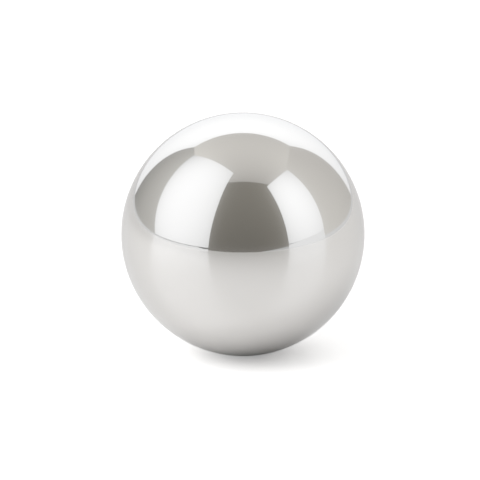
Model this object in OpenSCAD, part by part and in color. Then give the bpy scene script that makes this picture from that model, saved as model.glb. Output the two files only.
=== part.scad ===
// Polished steel ball, one solid piece. Millimetres, +Z up, origin at the ball's centre.

/* [Ball] */
// Diameter of the ball, 25.4 for a one-inch ball
ball_d = 25.4; // [1.5:0.1:50.8]

/* [Preview] */
// Facets round the ball's equator in a preview
facets = 180; // [48:12:240]

/* [Hidden] */
steel = [0.80, 0.79, 0.77];

// A true sphere. The ball is headed cold from one slug of wire, hardened, ground and
// lapped, so it has no seam, flat, hole or centre mark, and the same diameter every way.
// It lies on its side, so that its two poles are level and the line on which a meshed
// copy of it closes runs underneath, past the point that it stands on.
module ball() {
    color(steel) rotate([0, 90, 0]) sphere(d = ball_d, $fn = facets);
}

ball();
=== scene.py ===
import math

import bpy
from mathutils import Matrix, Vector

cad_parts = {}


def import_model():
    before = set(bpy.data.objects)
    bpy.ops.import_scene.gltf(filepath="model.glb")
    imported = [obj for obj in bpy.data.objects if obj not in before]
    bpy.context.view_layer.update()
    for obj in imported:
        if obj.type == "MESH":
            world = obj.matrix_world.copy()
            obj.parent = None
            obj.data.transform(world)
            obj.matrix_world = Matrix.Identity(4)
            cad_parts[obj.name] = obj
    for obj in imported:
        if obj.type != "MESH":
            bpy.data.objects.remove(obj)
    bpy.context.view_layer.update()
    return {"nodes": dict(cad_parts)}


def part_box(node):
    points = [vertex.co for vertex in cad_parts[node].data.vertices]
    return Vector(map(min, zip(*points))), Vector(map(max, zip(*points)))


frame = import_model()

# Everything is in metres, with the ball's centre at the origin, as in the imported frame.
# The ball's mesh has its full size along X, where its poles lie.
BALL_LOW, BALL_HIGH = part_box("ball")
BALL_RADIUS = (BALL_HIGH.x - BALL_LOW.x) / 2
FLOOR_Z = BALL_LOW.z

# Camera: where it stands, and how large and where the ball comes out in its square frame.
CAMERA_DISTANCE = 0.60
CAMERA_ELEVATION = math.radians(15.5)
FRAME_PIXELS = 480
BALL_RADIUS_PIXELS = 121.97
BALL_RIGHT_PIXELS = 2.94
BALL_UP_PIXELS = 5.85
CAMERA_SEES_FROM = 0.01
CAMERA_SEES_TO = 50.0

# Light tent: the corners of its cloth walls and roof. Each side wall ends above the floor, on a band of
# painted light.
BACK_FOOT_LEFT = Vector((-0.705, 0.895, FLOOR_Z))
BACK_FOOT_RIGHT = Vector((0.700, 0.895, FLOOR_Z))
BACK_TOP_LEFT = Vector((-0.745, 0.840, 1.150))
BACK_TOP_RIGHT = Vector((0.710, 0.840, 1.150))
FRONT_TOP_LEFT = Vector((-0.815, -0.520, 1.150))
FRONT_TOP_RIGHT = Vector((0.735, -0.520, 1.150))
LEFT_FOOT_BACK = Vector((-0.705, 0.895, 0.019))
LEFT_FOOT_FRONT = Vector((-0.780, -0.520, -0.010))
RIGHT_FOOT_BACK = Vector((0.700, 0.895, 0.014))
RIGHT_FOOT_FRONT = Vector((0.730, -0.520, 0.016))
ROOM_FOOT_LEFT = Vector((-0.780, -0.520, FLOOR_Z))
ROOM_FOOT_MIDDLE = Vector((0.150, -0.520, FLOOR_Z))
ROOM_FOOT_RIGHT = Vector((0.730, -0.520, 0.030))
# The back wall's dim strip at its foot, and the band of painted light above it.
BACK_DIM_STRIP_HEIGHT = 0.005
BACK_FOOT_LIGHT_HEIGHT = 0.032
FLOOR_HALF = 6.0

# Softboxes: where the middle of the foot stands, the turn and lean of the front in degrees, and the
# front's corners, across and up from the foot, anticlockwise from the lower left.
LEFT_SOFTBOX_FOOT = Vector((-0.460, -0.195, FLOOR_Z))
LEFT_SOFTBOX_TURN = -47.5
LEFT_SOFTBOX_LEAN = 24.0
LEFT_SOFTBOX_CORNERS = ((-0.270, 0.015), (0.295, 0.022), (0.275, 0.330), (0.235, 0.710), (-0.410, 0.810))
RIGHT_SOFTBOX_FOOT = Vector((0.540, -0.265, FLOOR_Z))
RIGHT_SOFTBOX_TURN = 65.0
RIGHT_SOFTBOX_LEAN = 8.5
RIGHT_SOFTBOX_CORNERS = ((-0.225, 0.044), (0.205, 0.069), (0.260, 0.825), (-0.215, 0.830))

# Painted shade in the gap under each softbox, a dark strip: its depth at shares of the way along the foot,
# from the left corner.
LEFT_SHADE_STRIP = ((0.0, 0.003), (0.84, 0.003), (0.92, 0.0095), (1.0, 0.010))
RIGHT_SHADE_STRIP = ((0.0, 0.005), (0.25, 0.0002), (1.0, 0.0002))

# How brightly the lit panels glow: the level in the middle, its slope across and upward, and its fall
# towards the sides and towards the ends. One number is an even glow.
BACK_CLOTH_GLOW = (1.63, -0.01, 0.02, 0.10, 0.07)
LEFT_CLOTH_GLOW = (0.76, -0.23, 0.10, 0.11, 0.04)
RIGHT_CLOTH_GLOW = (0.82, 0.13, 0.0, -0.03, -0.02)
ROOF_CLOTH_GLOW = (0.845, -0.06, -0.08, -0.13, 0.18)
DARK_ROOM_GLOW = (0.29, -0.09, 0.13, -0.74, 0.15)
LEFT_SOFTBOX_GLOW = (1.49, 0.03, -0.03, 0.19, 0.12)
RIGHT_SOFTBOX_GLOW = (1.46, -0.02, 0.0, 0.14, 0.12)
# The dim strip at the back wall's foot, and the bands of painted light where the walls meet the floor.
BACK_DIM_STRIP_GLOW = 0.67
BACK_FOOT_LIGHT_GLOW = 1.0
LEFT_FOOT_LIGHT_GLOW = 0.93
RIGHT_FOOT_LIGHT_GLOW = 0.92
FRONT_PAPER_GLOW = 0.67
# Under each softbox: paper that glows brighter than white, painted light, and a dark strip, painted shade.
FOOT_PAPER_GLOW = 1.13
SHADE_STRIP_GLOW = 0.05

# Colours, as linear red, green and blue.
WHITE = (1.0, 1.0, 1.0)
STEEL = (0.665, 0.655, 0.642)
STEEL_CLOUD = (0.655, 0.645, 0.632)
STEEL_GLANCING = (0.79, 0.79, 0.79)
WHITE_CLOTH = (1.0, 1.015, 1.035)
LEFT_CLOTH = (1.0, 0.99, 0.95)
RIGHT_CLOTH = (1.0, 0.98, 0.94)
ROOF_CLOTH = (1.0, 0.98, 0.94)
DARK_ROOM = (1.0, 0.955, 0.85)
FLOOR_PAPER = (0.92, 0.915, 0.91)

# Steel: its fine marks, which cross at these turns in degrees, its slow clouds, and the roughness of the
# mirror and of the haze.
LAPPING_TURNS = ((20, 0, 35), (75, 25, 0), (0, 60, 80))
LAPPING_STRETCH = 0.06
MARKS_PER_METRE = 9000.0
MARKS_DETAIL = 3.0
MARKS_FAINT = 0.4
MARKS_DEEP = 0.8
CLOUDS_PER_METRE = 220.0
CLOUDS_DETAIL = 2.0
MIRROR_ROUGHNESS_LOW = 0.012
MIRROR_ROUGHNESS_HIGH = 0.032
HAZE_ROUGHNESS = 0.22
HAZE_SHARE = 0.26

# Floor: its gloss, which fades out behind the ball, and the painted light that its glow lifts it by.
# The lift fades out where the ball stands, a painted shadow under the ball.
FLOOR_ROUGHNESS = 0.30
FLOOR_IOR = 1.63
GLOSS_LEVEL = 0.40
COAT_LEVEL = 0.16
COAT_ROUGHNESS = 0.05
GLOSS_FULL_SIDE = 0.0
GLOSS_NONE_SIDE = 0.74
FLOOR_LIFT = 0.19
FLOOR_CAMERA_LIFT = 0.30
SHADE_CENTRE = (0.0018, -0.0007, FLOOR_Z)
LIFT_NONE_AT = 0.001
LIFT_FULL_AT = 0.0095

# Painted pools of light in the floor's glow: the centre, how far each reaches, and how much it adds there.
NEAR_POOL = ((-0.075, 0.015, FLOOR_Z), 0.14, 0.14)
FAR_POOL = ((-0.415, -0.175, FLOOR_Z), 0.36, 0.115)

# Lamps that light the floor: the share of a plain level, and the turn from the front, the height and the
# softness in degrees.
WORLD_SHARE = 0.56
KEY_LAMP = ("key_lamp", 0.325, -64.0, 54.0, 54.0)
FILL_LAMP = ("fill_lamp", 0.03, 34.0, 56.0, 70.0)


def new_material(name):
    material = bpy.data.materials.new(name)
    material.use_nodes = True
    material.node_tree.nodes.clear()
    return material, material.node_tree.nodes, material.node_tree.links


def calculate(tree, operation, first, second):
    """One Math node: first and second are each a number or another node's output."""
    node = tree.nodes.new("ShaderNodeMath")
    node.operation = operation
    for socket, value in zip(node.inputs, (first, second)):
        if isinstance(value, (int, float)):
            socket.default_value = value
        else:
            tree.links.new(value, socket)
    return node.outputs["Value"]


def glow_group():
    """How a panel's glow changes over it: a slope each way, and a fall to its sides and its ends. On the
    cloth and the dark room it is a painted fall of light; on a softbox's front, the lamp's own spread.
    """
    group = bpy.data.node_groups.new("panel_glow", "ShaderNodeTree")
    group.interface.new_socket(name="Colour", in_out="INPUT", socket_type="NodeSocketColor")
    for name in ("Across", "Upward", "Side Fall", "End Fall"):
        group.interface.new_socket(name=name, in_out="INPUT", socket_type="NodeSocketFloat")
    group.interface.new_socket(name="Colour", in_out="OUTPUT", socket_type="NodeSocketColor")
    inputs = group.nodes.new("NodeGroupInput")
    outputs = group.nodes.new("NodeGroupOutput")
    place = group.nodes.new("ShaderNodeTexCoord")
    split = group.nodes.new("ShaderNodeSeparateXYZ")
    group.links.new(place.outputs["Generated"], split.inputs["Vector"])
    total = 1.0
    for axis, slope, fall in (("X", "Across", "Side Fall"), ("Y", "Upward", "End Fall")):
        doubled = calculate(group, "MULTIPLY", split.outputs[axis], 2.0)
        centred = calculate(group, "SUBTRACT", doubled, 1.0)
        squared = calculate(group, "MULTIPLY", centred, centred)
        sloped = calculate(group, "MULTIPLY", centred, inputs.outputs[slope])
        fallen = calculate(group, "MULTIPLY", squared, inputs.outputs[fall])
        total = calculate(group, "ADD", total, calculate(group, "SUBTRACT", sloped, fallen))
    scaled = group.nodes.new("ShaderNodeVectorMath")
    scaled.operation = "SCALE"
    group.links.new(inputs.outputs["Colour"], scaled.inputs["Vector"])
    group.links.new(total, scaled.inputs["Scale"])
    group.links.new(scaled.outputs["Vector"], outputs.inputs["Colour"])
    return group


def even_glow(name, colour, strength):
    """Cloth or paper of one even brightness."""
    material, nodes, links = new_material(name)
    emission = nodes.new("ShaderNodeEmission")
    emission.inputs["Color"].default_value = (*colour, 1.0)
    emission.inputs["Strength"].default_value = strength
    output = nodes.new("ShaderNodeOutputMaterial")
    links.new(emission.outputs["Emission"], output.inputs["Surface"])
    return material


def shaded_glow(name, colour, glow):
    """Cloth lit from behind, a softbox's front or the dark room, whose colour the panel_glow group shades
    with the fall of light, painted on cloth and room. Its strength is the first of glow.
    """
    strength, *shading = glow
    material = even_glow(name, colour, strength)
    nodes = material.node_tree.nodes
    shade = nodes.new("ShaderNodeGroup")
    shade.node_tree = PANEL_GLOW
    for socket, value in zip(shade.inputs, ((*colour, 1.0), *shading)):
        socket.default_value = value
    material.node_tree.links.new(shade.outputs["Colour"], nodes["Emission"].inputs["Color"])
    return material


def panel(name, corners, material):
    """A flat panel that only polish shows. The ball sees its corners anticlockwise from the lower left."""
    across = (corners[1] - corners[0]).normalized()
    facing = across.cross(corners[-1] - corners[0]).normalized()
    turn = Matrix((across, facing.cross(across), facing)).transposed().to_4x4()
    place = Matrix.Translation(corners[0]) @ turn
    flat = [place.inverted() @ corner for corner in corners]
    mesh = bpy.data.meshes.new(name)
    mesh.from_pydata(flat, [], [tuple(range(len(flat)))])
    mesh.materials.append(material)
    made = bpy.data.objects.new(name, mesh)
    made.matrix_world = place
    made.visible_camera = False
    made.visible_diffuse = False
    made.visible_shadow = False
    bpy.context.scene.collection.objects.link(made)


def on_floor(point):
    return Vector((point.x, point.y, FLOOR_Z))


def up_the_back(height):
    """The left and right points of the back wall at a height above the floor."""
    share = height / (BACK_TOP_LEFT.z - FLOOR_Z)
    return BACK_FOOT_LEFT.lerp(BACK_TOP_LEFT, share), BACK_FOOT_RIGHT.lerp(BACK_TOP_RIGHT, share)


def back_wall():
    """A dim strip on the floor, a band of painted light above it, and the lit cloth."""
    dim_strip_left, dim_strip_right = up_the_back(BACK_DIM_STRIP_HEIGHT)
    foot_light_left, foot_light_right = up_the_back(BACK_FOOT_LIGHT_HEIGHT)
    panel("back_dim_strip", [BACK_FOOT_LEFT, BACK_FOOT_RIGHT, dim_strip_right, dim_strip_left],
          even_glow("back_dim_strip", WHITE_CLOTH, BACK_DIM_STRIP_GLOW))
    panel("back_painted_foot_light", [dim_strip_left, dim_strip_right, foot_light_right, foot_light_left],
          even_glow("back_painted_foot_light", WHITE_CLOTH, BACK_FOOT_LIGHT_GLOW))
    panel("back_cloth", [foot_light_left, foot_light_right, BACK_TOP_RIGHT, BACK_TOP_LEFT],
          shaded_glow("lit_back_cloth", WHITE_CLOTH, BACK_CLOTH_GLOW))


def side_wall(side, feet, tops, colour, glow, foot_light_glow):
    """A side wall's cloth, and a band of painted light from its foot down to the floor."""
    left, right = feet
    top_left, top_right = tops
    panel(side + "_painted_foot_light", [on_floor(left), on_floor(right), right, left],
          even_glow(side + "_painted_foot_light", WHITE_CLOTH, foot_light_glow))
    panel(side + "_cloth", [left, right, top_right, top_left], shaded_glow(side + "_cloth", colour, glow))


def open_front():
    """The dark room that the tent opens on, and white paper on the floor's edge at its right."""
    panel("dark_room", [ROOM_FOOT_LEFT, ROOM_FOOT_MIDDLE, ROOM_FOOT_RIGHT, FRONT_TOP_RIGHT, FRONT_TOP_LEFT],
          shaded_glow("dark_room", DARK_ROOM, DARK_ROOM_GLOW))
    panel("front_paper", [ROOM_FOOT_MIDDLE, on_floor(ROOM_FOOT_RIGHT), ROOM_FOOT_RIGHT],
          even_glow("front_paper", WHITE_CLOTH, FRONT_PAPER_GLOW))


def tent():
    """Cloth walls and a roof, open at the front."""
    back_wall()
    side_wall("left", (LEFT_FOOT_FRONT, LEFT_FOOT_BACK), (FRONT_TOP_LEFT, BACK_TOP_LEFT),
              LEFT_CLOTH, LEFT_CLOTH_GLOW, LEFT_FOOT_LIGHT_GLOW)
    side_wall("right", (RIGHT_FOOT_BACK, RIGHT_FOOT_FRONT), (BACK_TOP_RIGHT, FRONT_TOP_RIGHT),
              RIGHT_CLOTH, RIGHT_CLOTH_GLOW, RIGHT_FOOT_LIGHT_GLOW)
    panel("roof_cloth", [BACK_TOP_LEFT, BACK_TOP_RIGHT, FRONT_TOP_RIGHT, FRONT_TOP_LEFT],
          shaded_glow("roof_cloth", ROOF_CLOTH, ROOF_CLOTH_GLOW))
    open_front()


def under_edge(name, left, right, shade_strip):
    """What stands under a softbox's lower edge: a dark strip of painted shade, and white paper turned up
    from the floor, glowing as painted light.
    """
    shade_strip_line = [left.lerp(right, share) - Vector((0, 0, depth)) for share, depth in shade_strip]
    panel(name + "_shade_strip", [*shade_strip_line, right, left], even_glow(name + "_shade_strip", DARK_ROOM, SHADE_STRIP_GLOW))
    panel(name + "_paper", [on_floor(left), on_floor(right), *reversed(shade_strip_line)],
          even_glow(name + "_paper", WHITE_CLOTH, FOOT_PAPER_GLOW))


def softbox(name, foot, turn, lean, corners, glow, shade_strip):
    """A softbox's lit front, turned and leant over the ball, and what stands under it."""
    turn, lean = math.radians(turn), math.radians(lean)
    facing = Vector((-math.sin(turn) * math.cos(lean), math.cos(turn) * math.cos(lean), -math.sin(lean)))
    across = facing.cross(Vector((0, 0, 1))).normalized()
    upward = across.cross(facing)
    placed = [foot + across * right + upward * up for right, up in corners]
    panel(name, placed, shaded_glow(name, WHITE_CLOTH, glow))
    under_edge(name, placed[0], placed[1], shade_strip)


def seen_rays(tree):
    """1 for rays from the camera, and for those that metal or glass sends on."""
    path = tree.nodes.new("ShaderNodeLightPath")
    camera_or_glossy = calculate(tree, "ADD", path.outputs["Is Camera Ray"], path.outputs["Is Glossy Ray"])
    return path, calculate(tree, "ADD", camera_or_glossy, path.outputs["Is Transmission Ray"])


def distance_to(tree, place, point):
    node = tree.nodes.new("ShaderNodeVectorMath")
    node.operation = "DISTANCE"
    tree.links.new(place, node.inputs[0])
    node.inputs[1].default_value = point
    return node.outputs["Value"]


def faded(tree, value, none_at, full_at, full):
    """Nothing where value is none_at, full where it is full_at, and a smooth step between them."""
    node = tree.nodes.new("ShaderNodeMapRange")
    node.interpolation_type = "SMOOTHSTEP"
    node.inputs["From Min"].default_value = none_at
    node.inputs["From Max"].default_value = full_at
    node.inputs["To Min"].default_value = 0.0
    node.inputs["To Max"].default_value = full
    tree.links.new(value, node.inputs["Value"])
    return node.outputs["Result"]


def floor_material():
    material, nodes, links = new_material("pale_floor")
    tree = material.node_tree
    surface = nodes.new("ShaderNodeBsdfPrincipled")
    surface.inputs["Base Color"].default_value = (*FLOOR_PAPER, 1.0)
    surface.inputs["Roughness"].default_value = FLOOR_ROUGHNESS
    surface.inputs["IOR"].default_value = FLOOR_IOR
    surface.inputs["Coat Roughness"].default_value = COAT_ROUGHNESS
    surface.inputs["Coat IOR"].default_value = FLOOR_IOR
    surface.inputs["Emission Color"].default_value = (*WHITE, 1.0)
    path, seen = seen_rays(tree)
    place = nodes.new("ShaderNodeTexCoord")
    lift = FLOOR_LIFT
    # Painted pools of light, added to the floor's glow.
    for centre, reach, most in (NEAR_POOL, FAR_POOL):
        pool = faded(tree, distance_to(tree, place.outputs["Object"], centre), reach, 0.0, most)
        lift = calculate(tree, "ADD", pool, lift)
    # Painted shadow under the ball: the floor's glow fades out near SHADE_CENTRE.
    under_ball = distance_to(tree, place.outputs["Object"], SHADE_CENTRE)
    outside_painted_shadow = faded(tree, under_ball, LIFT_NONE_AT, LIFT_FULL_AT, 1.0)
    lift = calculate(tree, "MULTIPLY", outside_painted_shadow, lift)
    lift = calculate(tree, "MULTIPLY", seen, lift)
    camera_lift = calculate(tree, "MULTIPLY", path.outputs["Is Camera Ray"], FLOOR_CAMERA_LIFT)
    links.new(calculate(tree, "ADD", lift, camera_lift), surface.inputs["Emission Strength"])
    outward = nodes.new("ShaderNodeVectorMath")
    outward.operation = "NORMALIZE"
    links.new(place.outputs["Object"], outward.inputs[0])
    side = nodes.new("ShaderNodeSeparateXYZ")
    links.new(outward.outputs["Vector"], side.inputs["Vector"])
    shown = faded(tree, side.outputs["Y"], GLOSS_NONE_SIDE, GLOSS_FULL_SIDE, 1.0)
    shown = calculate(tree, "MULTIPLY", shown, path.outputs["Is Glossy Ray"])
    links.new(calculate(tree, "MULTIPLY", shown, GLOSS_LEVEL), surface.inputs["Specular IOR Level"])
    links.new(calculate(tree, "MULTIPLY", shown, COAT_LEVEL), surface.inputs["Coat Weight"])
    output = nodes.new("ShaderNodeOutputMaterial")
    links.new(surface.outputs["BSDF"], output.inputs["Surface"])
    return material


def floor():
    sides = ((-1, -1), (1, -1), (1, 1), (-1, 1))
    corners = [(FLOOR_HALF * right, FLOOR_HALF * back, FLOOR_Z) for right, back in sides]
    mesh = bpy.data.meshes.new("floor")
    mesh.from_pydata(corners, [], [(0, 1, 2, 3)])
    mesh.materials.append(floor_material())
    made = bpy.data.objects.new("floor", mesh)
    bpy.context.scene.collection.objects.link(made)


def lamp(name, share, turn, height, softness):
    """A wide soft lamp far off, which gives the floor its share of a plain level. Metal doesn't show it."""
    turn, height = math.radians(turn), math.radians(height)
    light = bpy.data.lights.new(name, "SUN")
    light.energy = share * math.pi / math.sin(height)
    light.angle = math.radians(softness)
    made = bpy.data.objects.new(name, light)
    level = math.cos(height)
    towards = Vector((math.sin(turn) * level, -math.cos(turn) * level, math.sin(height)))
    made.rotation_euler = towards.to_track_quat("Z", "Y").to_euler()
    made.visible_glossy = False
    bpy.context.scene.collection.objects.link(made)


def world():
    """White where it is seen, and a part of the floor's light."""
    made = bpy.data.worlds.new("white_room")
    made.use_nodes = True
    tree = made.node_tree
    background = tree.nodes["Background"]
    background.inputs["Color"].default_value = (*WHITE, 1.0)
    path, seen = seen_rays(tree)
    extra = calculate(tree, "MULTIPLY", seen, 1.0 - WORLD_SHARE)
    tree.links.new(calculate(tree, "ADD", extra, WORLD_SHARE), background.inputs["Strength"])
    bpy.context.scene.world = made


def lapping_group():
    """What lapping leaves on the steel: fine crossing marks and slow clouds, both masks from 0 to 1."""
    group = bpy.data.node_groups.new("lapping", "ShaderNodeTree")
    for name in ("Marks Per Metre", "Clouds Per Metre"):
        group.interface.new_socket(name=name, in_out="INPUT", socket_type="NodeSocketFloat")
    for name in ("Marks", "Clouds"):
        group.interface.new_socket(name=name, in_out="OUTPUT", socket_type="NodeSocketFloat")
    inputs = group.nodes.new("NodeGroupInput")
    outputs = group.nodes.new("NodeGroupOutput")
    place = group.nodes.new("ShaderNodeTexCoord")
    marks = 0.0
    for turn in LAPPING_TURNS:
        stretch = group.nodes.new("ShaderNodeMapping")
        stretch.inputs["Rotation"].default_value = [math.radians(angle) for angle in turn]
        stretch.inputs["Scale"].default_value = (LAPPING_STRETCH, 1, 1)
        group.links.new(place.outputs["Object"], stretch.inputs["Vector"])
        lines = group.nodes.new("ShaderNodeTexNoise")
        lines.inputs["Detail"].default_value = MARKS_DETAIL
        group.links.new(stretch.outputs["Vector"], lines.inputs["Vector"])
        group.links.new(inputs.outputs["Marks Per Metre"], lines.inputs["Scale"])
        marks = calculate(group, "MAXIMUM", marks, lines.outputs["Fac"])
    group.links.new(marks, outputs.inputs["Marks"])
    clouds = group.nodes.new("ShaderNodeTexNoise")
    clouds.inputs["Detail"].default_value = CLOUDS_DETAIL
    group.links.new(place.outputs["Object"], clouds.inputs["Vector"])
    group.links.new(inputs.outputs["Clouds Per Metre"], clouds.inputs["Scale"])
    group.links.new(clouds.outputs["Fac"], outputs.inputs["Clouds"])
    return group


def sphere_normal(tree):
    """Straight out from the ball's centre, which its mesh's own normals miss where the surface closes."""
    place = tree.nodes.new("ShaderNodeTexCoord")
    turn = tree.nodes.new("ShaderNodeVectorTransform")
    turn.vector_type = "NORMAL"
    turn.convert_from = "OBJECT"
    turn.convert_to = "WORLD"
    tree.links.new(place.outputs["Object"], turn.inputs["Vector"])
    return turn.outputs["Vector"]


def steel_material():
    """Through-hardened steel, lapped to a mirror: a sharp reflection with a faint haze spread round it."""
    material, nodes, links = new_material("polished_steel")
    normal = sphere_normal(material.node_tree)
    lapping = nodes.new("ShaderNodeGroup")
    lapping.node_tree = lapping_group()
    lapping.inputs["Marks Per Metre"].default_value = MARKS_PER_METRE
    lapping.inputs["Clouds Per Metre"].default_value = CLOUDS_PER_METRE
    colour = nodes.new("ShaderNodeMix")
    colour.data_type = "RGBA"
    colour.inputs["A"].default_value = (*STEEL, 1.0)
    colour.inputs["B"].default_value = (*STEEL_CLOUD, 1.0)
    links.new(lapping.outputs["Clouds"], colour.inputs["Factor"])
    roughness = nodes.new("ShaderNodeMapRange")
    roughness.inputs["From Min"].default_value = MARKS_FAINT
    roughness.inputs["From Max"].default_value = MARKS_DEEP
    roughness.inputs["To Min"].default_value = MIRROR_ROUGHNESS_LOW
    roughness.inputs["To Max"].default_value = MIRROR_ROUGHNESS_HIGH
    links.new(lapping.outputs["Marks"], roughness.inputs["Value"])
    mirror = nodes.new("ShaderNodeBsdfPrincipled")
    haze = nodes.new("ShaderNodeBsdfPrincipled")
    for surface in (mirror, haze):
        surface.inputs["Metallic"].default_value = 1.0
        surface.inputs["Specular Tint"].default_value = (*STEEL_GLANCING, 1.0)
        links.new(colour.outputs["Result"], surface.inputs["Base Color"])
        links.new(normal, surface.inputs["Normal"])
    links.new(roughness.outputs["Result"], mirror.inputs["Roughness"])
    haze.inputs["Roughness"].default_value = HAZE_ROUGHNESS
    both = nodes.new("ShaderNodeMixShader")
    both.inputs["Fac"].default_value = HAZE_SHARE
    links.new(mirror.outputs["BSDF"], both.inputs[1])
    links.new(haze.outputs["BSDF"], both.inputs[2])
    output = nodes.new("ShaderNodeOutputMaterial")
    links.new(both.outputs["Shader"], output.inputs["Surface"])
    return material


def camera():
    """Stands in front, a little above, and is aimed so that the ball comes out where it should."""
    lens = bpy.data.cameras.new("camera")
    ball_half_angle = math.asin(BALL_RADIUS / CAMERA_DISTANCE)
    lens.angle = 2 * math.atan(math.tan(ball_half_angle) * FRAME_PIXELS / 2 / BALL_RADIUS_PIXELS)
    lens.clip_start = CAMERA_SEES_FROM
    lens.clip_end = CAMERA_SEES_TO
    made = bpy.data.objects.new("camera", lens)
    bpy.context.scene.collection.objects.link(made)
    backward = Vector((0, -math.cos(CAMERA_ELEVATION), math.sin(CAMERA_ELEVATION)))
    upward = Vector((0, math.sin(CAMERA_ELEVATION), math.cos(CAMERA_ELEVATION)))
    made.location = backward * CAMERA_DISTANCE
    pixel = BALL_RADIUS / BALL_RADIUS_PIXELS
    aim = Vector((-BALL_RIGHT_PIXELS * pixel, 0, 0)) - upward * BALL_UP_PIXELS * pixel
    made.rotation_euler = (aim - made.location).to_track_quat("-Z", "Y").to_euler()
    bpy.context.scene.camera = made


PANEL_GLOW = glow_group()
camera()
tent()
softbox("left_softbox", LEFT_SOFTBOX_FOOT, LEFT_SOFTBOX_TURN, LEFT_SOFTBOX_LEAN, LEFT_SOFTBOX_CORNERS,
        LEFT_SOFTBOX_GLOW, LEFT_SHADE_STRIP)
softbox("right_softbox", RIGHT_SOFTBOX_FOOT, RIGHT_SOFTBOX_TURN, RIGHT_SOFTBOX_LEAN, RIGHT_SOFTBOX_CORNERS,
        RIGHT_SOFTBOX_GLOW, RIGHT_SHADE_STRIP)
floor()
lamp(*KEY_LAMP)
lamp(*FILL_LAMP)
world()

ball = frame["nodes"]["ball"]
ball.material_slots[0].material = steel_material()

bpy.context.scene.view_settings.view_transform = "Standard"
